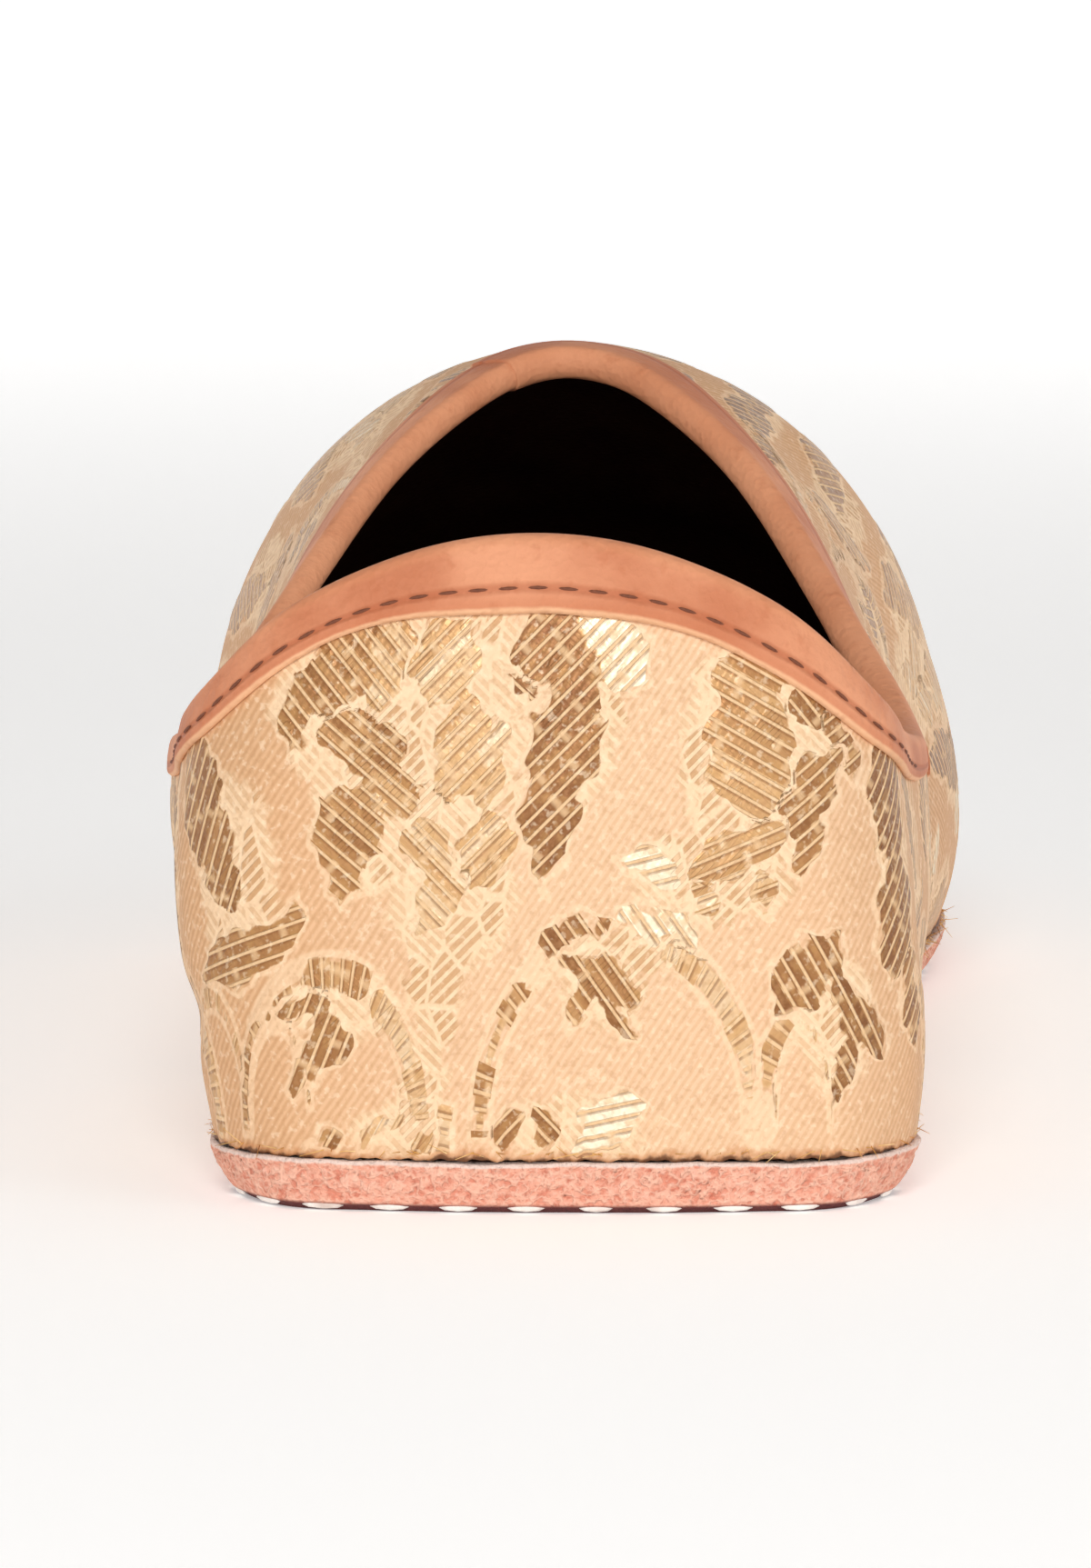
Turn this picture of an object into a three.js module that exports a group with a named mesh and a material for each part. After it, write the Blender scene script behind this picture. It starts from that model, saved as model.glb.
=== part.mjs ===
// A mojari: a slip-on shoe with a flat leather sole, an upper of brocade on leather, a deep collar
// that dips at the sides and runs up to a pointed throat, and a leather binding round that edge.
// Such shoes are lasted straight, so one shoe serves either foot.
//
// Units are millimetres, with +Z up, +Y from the heel to the toe, and +X to the right as seen from
// behind. The shoe stands on Z = 0, and the origin is under the middle of its bounding box.
import * as THREE from "three";
import { mergeVertices } from "three/addons/utils/BufferGeometryUtils.js";

// ---- Driving dimensions ------------------------------------------------------------------------

const SHOE_LENGTH = 281;
const SOLE_THICKNESS = 5.1;
const SOLE_LIP = 1.1; // how far the sole stands out past the foot line, at its top edge
const SOLE_UNDERCUT = 2.3; // how far the sole's edge slants in on the way down
const SOLE_BEVEL = { width: 1, height: 0.7 }; // at the ground
const LIP_EDGE = { height: 0.8, round: 0.2 };
const ARCH = { at: 108, halfSpan: 40, rise: 1.5 };
const TOE_SPRING = { from: 203, rise: 14 };

const UPPER_WALL = 1.7;
const INSOLE = { thickness: 3, bevel: 0.6 };
const BINDING = { thickness: 0.7, outerDrop: 4.8, innerDrop: 4, innerGap: 0.6, steps: 2, round: 0.7 };
const CLEARANCE = 0.3; // between any two pieces that meet

const FINISHES = {
  brocade: { color: 0xe6c28f, roughness: 0.6 },
  binding: { color: 0xdc9066, roughness: 0.55 },
  sole: { color: 0xe3a48c, roughness: 0.9 },
  insole: { color: 0x5a3320, roughness: 0.8 },
};

// The upper leans a little to the left over its sole, and straightens towards the toe.
const LEAN = { shift: 2.3, fullAbove: 38, from: 165, to: 230 };

// The last, as sections from the back of the heel to the tip of the toe. Each one is a curve from
// the foot line, where the upper meets the sole, up to the crown over the middle of the foot.
//   at, half      foot line: distance from the back of the heel, and distance from the middle
//   crownAt, crown  distance from the back of the heel and height of the crown
//   tilt, reach   angle at which the wall leaves the sole (90 is upright), and how far it holds it
//   slope, over   angle at which it comes to the crown (180 is level), and how far it holds that
//   collar        height at which the upper is cut for the opening; none past the throat
const SECTIONS = [
  { at: 1.1, half: 0, crownAt: 46, crown: 92, tilt: 90, reach: 36, slope: 178, over: 44, collar: 60.6 },
  { at: 1.8, half: 15, crownAt: 46, crown: 92, tilt: 90, reach: 36, slope: 178, over: 44, collar: 58.2 },
  { at: 4.6, half: 26.2, crownAt: 46, crown: 90, tilt: 87, reach: 35, slope: 178, over: 43, collar: 52.8 },
  { at: 12, half: 31, crownAt: 48, crown: 86, tilt: 78, reach: 31, slope: 177, over: 42, collar: 46.4 },
  { at: 29, half: 31.3, crownAt: 54, crown: 80, tilt: 71, reach: 29, slope: 174, over: 41, collar: 41 },
  { at: 47, half: 30.7, crownAt: 60, crown: 76, tilt: 68, reach: 29, slope: 170, over: 41, collar: 38.2 },
  { at: 63, half: 29.8, crownAt: 70, crown: 73, tilt: 67, reach: 30, slope: 168, over: 40, collar: 36.8 },
  { at: 79, half: 28.8, crownAt: 82, crown: 69, tilt: 65, reach: 31, slope: 168, over: 36, collar: 38.2 },
  { at: 93, half: 28.1, crownAt: 94, crown: 66, tilt: 62, reach: 29, slope: 169, over: 31, collar: 43 },
  { at: 108, half: 28.1, crownAt: 108, crown: 66, tilt: 60, reach: 26, slope: 172, over: 29, collar: 50.4 },
  { at: 124, half: 29, crownAt: 124, crown: 67.6, tilt: 58, reach: 24, slope: 175, over: 29, collar: 60 },
  { at: 133, half: 29.8, crownAt: 133, crown: 68.8, tilt: 57, reach: 23, slope: 176, over: 29, collar: 65.8 },
  { at: 141, half: 31, crownAt: 141, crown: 69.8, tilt: 57, reach: 22, slope: 177, over: 30, collar: 69.8 },
  { at: 163, half: 34.8, crownAt: 162, crown: 69, tilt: 60, reach: 21, slope: 177, over: 38 },
  { at: 187, half: 36.8, crownAt: 184, crown: 60, tilt: 66, reach: 19, slope: 177, over: 37 },
  { at: 212, half: 33.8, crownAt: 207, crown: 48.2, tilt: 67, reach: 16, slope: 177, over: 30 },
  { at: 236, half: 26.2, crownAt: 229, crown: 37.8, tilt: 66, reach: 12, slope: 178, over: 23 },
  { at: 257, half: 16.8, crownAt: 248, crown: 31.2, tilt: 66, reach: 10, slope: 178, over: 16 },
  { at: 272.5, half: 8.4, crownAt: 261, crown: 28, tilt: 68, reach: 8, slope: 178, over: 12 },
  { at: 279.9, half: 0, crownAt: 267, crown: 26.9, tilt: 70, reach: 7, slope: 178, over: 10 },
];
const THROAT = SECTIONS.findLastIndex((row) => row.collar !== undefined);
const STEPS_PER_SECTION = [4, 4, 4, 4, 3, 3, 3, 3, 3, 4, 3, 4, 4, 4, 4, 4, 3, 3, 3];
const WALL_ROWS = 10;

// Steps along a knot and up a section for measuring directions, and the last share with a normal.
const KNOT_STEP = 0.02;
const SHARE_STEP = 0.001;
const NEAR_CROWN = 0.999;
const BISECTIONS = 40;
const SMALLEST_AREA = 1e-7;
const MERGE_DISTANCE = 1e-4;

// ---- The last as a smooth surface ---------------------------------------------------------------

// The foot line's rise off the ground: a low arch at the waist, and the spring of the toe.
function groundRise(at) {
  const acrossArch = (at - ARCH.at) / ARCH.halfSpan;
  const arch = Math.abs(acrossArch) < 1 ? ARCH.rise * Math.cos((acrossArch * Math.PI) / 2) ** 2 : 0;
  const alongToe = Math.max(0, (at - TOE_SPRING.from) / (SHOE_LENGTH - TOE_SPRING.from));
  return arch + TOE_SPRING.rise * alongToe ** 2;
}

// The sections as a closed ring: heel, up the right side to the toe, and back down the left.
const rightSide = SECTIONS.map((row) => ({ ...row, x: row.half }));
const leftSide = SECTIONS.map((row) => ({ ...row, x: -row.half }));
const ring = [...rightSide, ...leftSide.slice(1, -1).reverse()];

// Each section's knot is its distance along the foot line, nearly.
const knots = [0];
for (let i = 1; i < SECTIONS.length; i++) {
  const [a, b] = [SECTIONS[i - 1], SECTIONS[i]];
  knots.push(knots[i - 1] + Math.hypot(b.at - a.at, b.half - a.half));
}
const toeKnot = knots[knots.length - 1];
const ringLength = 2 * toeKnot;
for (let i = SECTIONS.length - 2; i > 0; i--) knots.push(ringLength - knots[i]);

// The value of one column of the ring at a knot value, on a smooth curve through the rows.
function along(column, knot) {
  const count = ring.length;
  const wrapped = ((knot % ringLength) + ringLength) % ringLength;
  let i = count - 1;
  while (knots[i] > wrapped) i--;
  const rowAt = (k) => {
    const turn = Math.floor(k / count);
    const index = k - turn * count;
    return { knot: knots[index] + turn * ringLength, value: ring[index][column] };
  };
  const [before, from, to, after] = [rowAt(i - 1), rowAt(i), rowAt(i + 1), rowAt(i + 2)];
  const slopeAt = (p, q, r) => {
    if (p.value === undefined) return (r.value - q.value) / (r.knot - q.knot);
    if (r.value === undefined) return (q.value - p.value) / (q.knot - p.knot);
    const left = (q.value - p.value) / (q.knot - p.knot);
    const right = (r.value - q.value) / (r.knot - q.knot);
    return (left * (r.knot - q.knot) + right * (q.knot - p.knot)) / (r.knot - p.knot);
  };
  const span = to.knot - from.knot;
  const t = (wrapped - from.knot) / span;
  const startSlope = slopeAt(before, from, to) * span;
  const endSlope = slopeAt(from, to, after) * span;
  return (
    (2 * t ** 3 - 3 * t ** 2 + 1) * from.value +
    (t ** 3 - 2 * t ** 2 + t) * startSlope +
    (3 * t ** 2 - 2 * t ** 3) * to.value +
    (t ** 3 - t ** 2) * endSlope
  );
}

// The foot line and its outward direction, level with the ground.
function footPoint(knot) {
  const at = along("at", knot);
  return new THREE.Vector3(along("x", knot), at, groundRise(at) + SOLE_THICKNESS);
}
function outwardAt(knot) {
  const ahead = footPoint(knot + KNOT_STEP).sub(footPoint(knot - KNOT_STEP));
  return new THREE.Vector3(ahead.y, -ahead.x, 0).normalize();
}

// One section of the last, as a curve that runs from the foot line at 0 to the crown at 1.
function sectionCurve(knot) {
  const foot = footPoint(knot);
  foot.z += CLEARANCE;
  const crown = new THREE.Vector3(0, along("crownAt", knot), along("crown", knot));
  const out = foot.clone().sub(crown).setZ(0).normalize();
  const heading = (degrees) => {
    const angle = THREE.MathUtils.degToRad(degrees);
    return out.clone().multiplyScalar(Math.cos(angle)).setZ(Math.sin(angle));
  };
  const leaving = foot.clone().addScaledVector(heading(along("tilt", knot)), along("reach", knot));
  const arriving = crown.clone().addScaledVector(heading(along("slope", knot)), -along("over", knot));
  return new THREE.CubicBezierCurve3(foot, leaving, arriving, crown);
}

// A point of the last, and the direction that faces out of it there.
function lastPoint(knot, share) {
  const point = sectionCurve(knot).getPoint(share);
  const risen = THREE.MathUtils.smoothstep(point.z, SOLE_THICKNESS, LEAN.fullAbove);
  const straightened = THREE.MathUtils.smoothstep(point.y, LEAN.from, LEAN.to);
  point.x -= LEAN.shift * risen * (1 - straightened);
  return point;
}
function lastNormal(knot, share) {
  const forward = lastPoint(knot + KNOT_STEP, share).sub(lastPoint(knot - KNOT_STEP, share));
  const up = lastPoint(knot, share + SHARE_STEP).sub(lastPoint(knot, share - SHARE_STEP));
  return forward.cross(up).normalize();
}

// How far up its section the collar is cut: the share at which the section reaches that height.
const throatKnot = knots[THROAT];
const isOpen = (knot) => knot < throatKnot || knot > ringLength - throatKnot;
function collarShare(knot) {
  if (!isOpen(knot)) return 1;
  const height = along("collar", knot);
  const curve = sectionCurve(knot);
  let [low, high] = [0, 1];
  for (let i = 0; i < BISECTIONS; i++) {
    const middle = (low + high) / 2;
    if (curve.getPoint(middle).z < height) {
      low = middle;
    } else {
      high = middle;
    }
  }
  return low;
}

// ---- Meshes -------------------------------------------------------------------------------------

// Knot values of the stations round the ring, closer together beside the throat.
const halfRing = [];
for (let i = 0; i < SECTIONS.length - 1; i++) {
  for (let j = 0; j < STEPS_PER_SECTION[i]; j++) {
    const even = j / STEPS_PER_SECTION[i];
    const share = i === THROAT - 1 ? 1 - (1 - even) ** 2 : even;
    halfRing.push(knots[i] + share * (knots[i + 1] - knots[i]));
  }
}
const otherHalf = halfRing.slice(1).reverse();
const stations = [...halfRing, toeKnot, ...otherHalf.map((knot) => ringLength - knot)];

// Triangles between two rows of points of the same length.
function strip(triangles, lower, upper, closed = false) {
  const count = closed ? lower.length : lower.length - 1;
  for (let i = 0; i < count; i++) {
    const j = (i + 1) % lower.length;
    triangles.push([lower[i], lower[j], upper[j]], [lower[i], upper[j], upper[i]]);
  }
}

// A closed mesh from triangles of points. Faces that have shrunk to a line are left out.
function meshOf(name, triangles, finish) {
  const area = new THREE.Vector3();
  const kept = triangles.filter(([a, b, c]) => {
    area.crossVectors(b.clone().sub(a), c.clone().sub(a));
    return area.length() > SMALLEST_AREA;
  });
  const points = new Float32Array(kept.flat().flatMap((p) => p.toArray()));
  const loose = new THREE.BufferGeometry();
  loose.setAttribute("position", new THREE.BufferAttribute(points, 3));
  const geometry = mergeVertices(loose, MERGE_DISTANCE);
  geometry.computeVertexNormals();
  const mesh = new THREE.Mesh(geometry, new THREE.MeshStandardMaterial(finish));
  mesh.name = name;
  return mesh;
}

// The upper: brocade and its leather lining as one wall, open at the collar and underneath.
function makeUpper() {
  const isCrown = (knot, row) => row === WALL_ROWS && !isOpen(knot);
  const faceOut = (knot, share, row) => {
    if (!isCrown(knot, row)) return lastNormal(knot, share);
    const otherSide = lastNormal(ringLength - knot, NEAR_CROWN);
    return lastNormal(knot, NEAR_CROWN).add(otherSide).normalize();
  };
  const outside = [];
  const inside = [];
  for (let row = 0; row <= WALL_ROWS; row++) {
    outside.push([]);
    inside.push([]);
    for (const knot of stations) {
      const share = (row / WALL_ROWS) * collarShare(knot);
      const point = lastPoint(knot, share);
      outside[row].push(point);
      if (row > 0) {
        inside[row].push(point.clone().addScaledVector(faceOut(knot, share, row), -UPPER_WALL));
        continue;
      }
      const thicknessAcross = UPPER_WALL / Math.sin(THREE.MathUtils.degToRad(along("tilt", knot)));
      inside[row].push(point.clone().addScaledVector(outwardAt(knot), -thicknessAcross));
    }
  }
  const triangles = [];
  for (let row = 0; row < WALL_ROWS; row++) {
    strip(triangles, outside[row], outside[row + 1], true);
    strip(triangles, inside[row + 1], inside[row], true);
  }
  strip(triangles, inside[0], outside[0], true);
  // The collar's edge runs from the throat round the heel and back to the throat.
  const throatIndex = stations.indexOf(throatKnot);
  const back = stations.length - throatIndex;
  const edge = (row) => [...row.slice(back), ...row.slice(0, throatIndex + 1)];
  strip(triangles, edge(outside[WALL_ROWS]), edge(inside[WALL_ROWS]));
  return meshOf("upper", triangles, FINISHES.brocade);
}

// A plate under the foot: an edge profile of inset and height, carried round the foot line and
// closed above and below by strips from side to side.
function makePlate(name, profile, finish) {
  const rings = profile.map(({ inset, height }) =>
    stations.map((knot) => {
      const point = footPoint(knot).addScaledVector(outwardAt(knot), -inset);
      return point.setZ(groundRise(along("at", knot)) + height);
    }),
  );
  const triangles = [];
  for (let i = 0; i + 1 < rings.length; i++) strip(triangles, rings[i], rings[i + 1], true);
  const half = stations.length / 2;
  const rightOf = (points) => points.slice(0, half + 1);
  const leftOf = (points) => [points[0], ...points.slice(half).reverse()];
  const [bottom, top] = [rings[0], rings[rings.length - 1]];
  strip(triangles, rightOf(top), leftOf(top));
  strip(triangles, leftOf(bottom), rightOf(bottom));
  return meshOf(name, triangles, finish);
}

// The outsole: one layer of stiff leather with a thin lip at the top and an edge cut under.
function makeOutsole() {
  const foot = SOLE_UNDERCUT - SOLE_LIP;
  const { height, round } = LIP_EDGE;
  const edge = [
    { inset: foot + SOLE_BEVEL.width, height: 0 },
    { inset: foot, height: SOLE_BEVEL.height },
    { inset: round - SOLE_LIP, height: SOLE_THICKNESS - height },
    { inset: -SOLE_LIP, height: SOLE_THICKNESS - round },
    { inset: 1.5 * round - SOLE_LIP, height: SOLE_THICKNESS },
  ];
  return makePlate("outsole", edge, FINISHES.sole);
}

// The insole: a leather sock on a thin pad, inside the upper and just clear of its wall.
function makeInsole() {
  const shallowest = Math.min(...SECTIONS.map((row) => row.tilt));
  const inset = UPPER_WALL / Math.sin(THREE.MathUtils.degToRad(shallowest)) + 2.5 * CLEARANCE;
  const base = SOLE_THICKNESS + CLEARANCE;
  const top = base + INSOLE.thickness;
  const edge = [
    { inset, height: base },
    { inset, height: top - INSOLE.bevel },
    { inset: inset + INSOLE.bevel, height: top },
  ];
  return makePlate("insole", edge, FINISHES.insole);
}

// The binding: a strip of leather folded over the collar's edge, down both faces of the upper.
function makeBinding() {
  const edge = stations.filter((knot) => isOpen(knot) || knot === throatKnot);
  const split = edge.indexOf(throatKnot) + 1;
  const loop = [...edge.slice(split), ...edge.slice(0, split)];
  const points = loop.map((knot) => lastPoint(knot, collarShare(knot)));
  const sections = loop.map((knot, i) => {
    const previous = points[(i + loop.length - 1) % loop.length];
    const next = points[(i + 1) % loop.length];
    const ahead = next.clone().sub(previous).normalize();
    return bindingSection(knot, collarShare(knot), ahead);
  });
  const triangles = [];
  sections.forEach((section, i) => strip(triangles, sections[(i + 1) % sections.length], section, true));
  return meshOf("topline_binding", triangles, FINISHES.binding);
}

// Walks over the last from the collar's edge, square to it, and gives the places it passes.
function walkDown(knot, share, ahead, distance, steps) {
  const places = [];
  let [k, s] = [knot, share];
  for (let i = 0; i <= steps; i++) {
    const normal = lastNormal(k, Math.min(s, NEAR_CROWN));
    places.push({ point: lastPoint(k, s), normal });
    const down = ahead.clone().cross(normal).normalize();
    const perKnot = lastPoint(k + KNOT_STEP, s).sub(lastPoint(k - KNOT_STEP, s));
    perKnot.divideScalar(2 * KNOT_STEP);
    const perShare = lastPoint(k, s).sub(lastPoint(k, s - SHARE_STEP)).divideScalar(SHARE_STEP);
    const [aa, ab, bb] = [perKnot.dot(perKnot), perKnot.dot(perShare), perShare.dot(perShare)];
    const [ad, bd] = [perKnot.dot(down), perShare.dot(down)];
    const scale = distance / steps / (aa * bb - ab * ab);
    k += scale * (ad * bb - bd * ab);
    s += scale * (bd * aa - ad * ab);
  }
  return places;
}

// The strip's section where it passes over the collar's edge: out, over the fold, in and back.
function bindingSection(knot, share, ahead) {
  const { thickness, outerDrop, innerDrop, innerGap, steps, round } = BINDING;
  const outer = walkDown(knot, share, ahead, outerDrop, steps);
  const inner = walkDown(knot, share, ahead, innerDrop, steps);
  const off = (place, distance) => place.point.clone().addScaledVector(place.normal, distance);
  const down = outer[1].point.clone().sub(outer[0].point).normalize();
  const above = (height, distance) => off(outer[0], distance).addScaledVector(down, -height);
  const fold = CLEARANCE + round * thickness;
  const [front, back] = [CLEARANCE, -UPPER_WALL - innerGap];
  return [
    ...[...outer].reverse().map((place) => off(place, front + thickness)),
    above(fold, front + round * thickness),
    above(CLEARANCE + thickness, (front + back) / 2),
    above(fold, back - round * thickness),
    ...inner.map((place) => off(place, back - thickness)),
    ...[...inner].reverse().map((place) => off(place, back)),
    above(CLEARANCE, back),
    above(CLEARANCE, front),
    ...outer.map((place) => off(place, front)),
  ];
}

// ---- The shoe -----------------------------------------------------------------------------------

const shoe = new THREE.Group();
shoe.add(makeOutsole(), makeInsole(), makeUpper(), makeBinding());
const box = new THREE.Box3().setFromObject(shoe);
const middle = box.getCenter(new THREE.Vector3());
shoe.position.set(-middle.x, -middle.y, -box.min.z);

export default shoe;
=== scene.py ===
import math

import bmesh
import bpy
import numpy as np
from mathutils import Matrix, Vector


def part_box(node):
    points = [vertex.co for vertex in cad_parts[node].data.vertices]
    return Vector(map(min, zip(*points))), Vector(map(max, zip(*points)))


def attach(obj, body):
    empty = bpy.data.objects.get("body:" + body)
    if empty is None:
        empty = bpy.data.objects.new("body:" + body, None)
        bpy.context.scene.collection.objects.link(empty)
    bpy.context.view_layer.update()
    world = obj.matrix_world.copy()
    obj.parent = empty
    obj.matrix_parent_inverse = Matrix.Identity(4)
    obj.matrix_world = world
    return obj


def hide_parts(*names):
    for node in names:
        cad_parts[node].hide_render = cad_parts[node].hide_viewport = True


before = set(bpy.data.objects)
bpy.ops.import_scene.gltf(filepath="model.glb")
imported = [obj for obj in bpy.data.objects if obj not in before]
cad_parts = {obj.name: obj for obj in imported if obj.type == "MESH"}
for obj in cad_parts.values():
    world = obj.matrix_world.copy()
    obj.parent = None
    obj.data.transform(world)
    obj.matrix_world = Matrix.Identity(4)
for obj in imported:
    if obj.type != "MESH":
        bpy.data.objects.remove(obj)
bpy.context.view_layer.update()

# ---- Studio ---------------------------------------------------------------------------------
# A wide round floor of white card whose rim curls up into a low wall, three large soft lights,
# and the camera straight behind the heel, a little above the collar.

MM = 0.001
CAMERA_AT = Vector((0.0226, -1.0405, 0.137))
CAMERA_AIM = Vector((-0.0010, -0.1105, 0.0365))
CAMERA_LENS = 330.0

camera = bpy.data.objects.new("camera", bpy.data.cameras.new("camera"))
camera.location = CAMERA_AT
camera.rotation_euler = (CAMERA_AIM - CAMERA_AT).to_track_quat("-Z", "Y").to_euler()
camera.data.lens = CAMERA_LENS
camera.data.sensor_fit = "HORIZONTAL"
camera.data.clip_start = 0.01
bpy.context.scene.collection.objects.link(camera)
bpy.context.scene.camera = camera


def add_light(name, at, aim, width, power, colour):
    data = bpy.data.lights.new(name, "AREA")
    data.shape = "DISK"
    data.size = width
    data.energy = power
    data.color = colour
    light = bpy.data.objects.new(name, data)
    light.location = at
    light.rotation_euler = (Vector(aim) - Vector(at)).to_track_quat("-Z", "Y").to_euler()
    bpy.context.scene.collection.objects.link(light)


add_light("key", (-0.03, -1.5, 0.85), (0, -0.08, 0.03), 0.5, 10.9, (1.0, 0.98, 0.96))
add_light("fill", (0.9, -0.7, 0.6), (0, -0.08, 0.03), 0.8, 1.6, (1.0, 0.98, 0.96))
add_light("top", (0.05, 0.45, 1.5), (0, 0, 0), 1.4, 3, (1.0, 0.99, 0.98))

world = bpy.data.worlds.new("studio")
world.use_nodes = True
world.node_tree.nodes["Background"].inputs["Color"].default_value = (1, 0.99, 0.98, 1)
world.node_tree.nodes["Background"].inputs["Strength"].default_value = 0.2
bpy.context.scene.world = world
bpy.context.scene.view_settings.view_transform = "Standard"


def to_mesh(bm):
    mesh = bpy.data.meshes.new("mesh")
    bm.to_mesh(mesh)
    bm.free()
    return mesh


def new_object(name, mesh):
    mesh.name = name
    piece = bpy.data.objects.new(name, mesh)
    bpy.context.scene.collection.objects.link(piece)
    return piece


def shade_smooth(mesh):
    mesh.polygons.foreach_set("use_smooth", np.ones(len(mesh.polygons), bool))


class Wire:
    """A socket of a material. Arithmetic on it adds Math nodes, and node() adds any other node."""

    def __init__(self, tree, socket=None):
        self.tree = tree
        self.socket = socket

    def node(self, kind, settings=None, inputs=None, output=0):
        made = self.tree.nodes.new(kind)
        for key, value in (settings or {}).items():
            if key == "stops":
                ramp = made.color_ramp.elements
                while len(ramp) < len(value):
                    ramp.new(0.5)
                for element, (place, colour) in zip(ramp, value):
                    element.position = place
                    element.color = colour
            else:
                setattr(made, key, value)
        for key, value in (inputs or {}).items():
            if isinstance(value, Wire):
                self.tree.links.new(value.socket, made.inputs[key])
            else:
                made.inputs[key].default_value = value
        return Wire(self.tree, made.outputs[output])

    def attribute(self, name):
        return self.node("ShaderNodeAttribute", {"attribute_name": name}, output=2)

    def maths(self, operation, *values):
        return self.node("ShaderNodeMath", {"operation": operation}, dict(enumerate(values)))

    def __add__(self, other):
        return self.maths("ADD", self, other)

    def __sub__(self, other):
        return self.maths("SUBTRACT", self, other)

    def __rsub__(self, other):
        return self.maths("SUBTRACT", other, self)

    def __mul__(self, other):
        return self.maths("MULTIPLY", self, other)

    __radd__, __rmul__ = __add__, __mul__

    def step(self, low, high):
        """0 below low, 1 above high and smooth between; the other way round if low is the higher."""
        settings = {"interpolation_type": "SMOOTHSTEP"}
        values = {"Value": self, "From Min": low, "From Max": high}
        return self.node("ShaderNodeMapRange", settings, values)

    def wave(self):
        """A smooth wave from 0 to 1 that repeats each time this value rises by 1."""
        turns = self * (2 * math.pi)
        return 0.5 + 0.5 * self.maths("SINE", turns)

    def noise(self, scale, detail=2.0):
        values = {"Vector": self, "Scale": scale, "Detail": detail}
        return self.node("ShaderNodeTexNoise", None, values)

    def voronoi(self, scale, feature="F1", output=0):
        values = {"Vector": self, "Scale": scale}
        return self.node("ShaderNodeTexVoronoi", {"feature": feature}, values, output)

    def blend(self, factor, first, second):
        values = {0: factor, 6: first, 7: second}
        return self.node("ShaderNodeMix", {"data_type": "RGBA"}, values, output=2)


def srgb(red, green, blue):
    """The colour with these screen values, as Blender's linear colour."""
    shares = [value / 255 for value in (red, green, blue)]
    linear = [c / 12.92 if c < 0.0405 else ((c + 0.055) / 1.055) ** 2.4 for c in shares]
    return (*linear, 1.0)


def new_material(name, roughness, **constants):
    """A material, and a wire with the place on the piece, to start its patterns from."""
    material = bpy.data.materials.new(name)
    material.use_nodes = True
    shader = material.node_tree.nodes["Principled BSDF"]
    for key, value in {"Roughness": roughness, **constants}.items():
        shader.inputs[key.replace("_", " ")].default_value = value
    return material, Wire(material.node_tree).node("ShaderNodeTexCoord", output=3)


def connect(material, height=None, lift=0.0, **wires):
    """Joins wires to the shader's sockets, and a height in metres, of this lift, to its normal."""
    tree = material.node_tree
    shader = tree.nodes["Principled BSDF"]
    for key, wire in wires.items():
        tree.links.new(wire.socket, shader.inputs[key.replace("_", " ")])
    if height:
        bump = Wire(tree).node("ShaderNodeBump", None, {"Height": height, "Distance": lift, "Strength": 1.0})
        tree.links.new(bump.socket, shader.inputs["Normal"])


FLOOR_RADIUS = 6.5
FLOOR_RIM = ((FLOOR_RADIUS, 0), (6.9, 0.06), (7.2, 0.25), (7.35, 0.6), (7.4, 2.4))
FLOOR_STEPS = 72
bm = bmesh.new()
profile = [bm.verts.new((x, 0, z)) for x, z in ((0, 0), *FLOOR_RIM)]
edges = [bm.edges.new(pair) for pair in zip(profile, profile[1:])]
bmesh.ops.spin(bm, geom=profile + edges, axis=(0, 0, 1), cent=(0, 0, 0), angle=2 * math.pi,
               steps=FLOOR_STEPS, use_merge=True)
bmesh.ops.remove_doubles(bm, verts=bm.verts, dist=0.001)
bmesh.ops.recalc_face_normals(bm, faces=bm.faces)
mesh = to_mesh(bm)
if mesh.polygons[0].normal.z < 0:
    mesh.flip_normals()
shade_smooth(mesh)
floor = new_object("floor", mesh)
material, start = new_material("card", 0.9, Specular_IOR_Level=0.1, Emission_Strength=0.72)
mottle = start.noise(1.5)
distance = start.node("ShaderNodeVectorMath", {"operation": "LENGTH"}, {"Vector": start}, output=1)
# The card glows with its own light, evenly white far off but dimmer near the shoe: a painted shadow round
# it.
painted_shadow_glow = start.blend(distance.step(0.25, 1.6), srgb(172, 172, 172), srgb(255, 255, 255))
card = start.blend(mottle, srgb(246, 245, 244), srgb(250, 249, 248))
connect(material, Base_Color=card, Emission_Color=painted_shadow_glow)
floor.data.materials.append(material)

# ---- Leather body of the upper --------------------------------------------------------------
# The shoe's inside: one wall of dark vegetable-tanned leather, drawn over the last and turned in
# under the insole, coloured darker still as painted shade of the shoe's inside. The brocade is pasted to its
# outside.

SOLE_LOW, SOLE_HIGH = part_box("outsole")
MIDDLE = (SOLE_LOW[0] + SOLE_HIGH[0]) / 2 / MM
HEEL = SOLE_LOW[1] / MM
SOLE_THICKNESS = 5.1
CLEARANCE = 0.3
UPPER_WALL = 1.7
CLOTH_THICKNESS, PASTE = 0.4, 0.05
BODY_COLUMNS, BODY_ROWS = 420, 44

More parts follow.
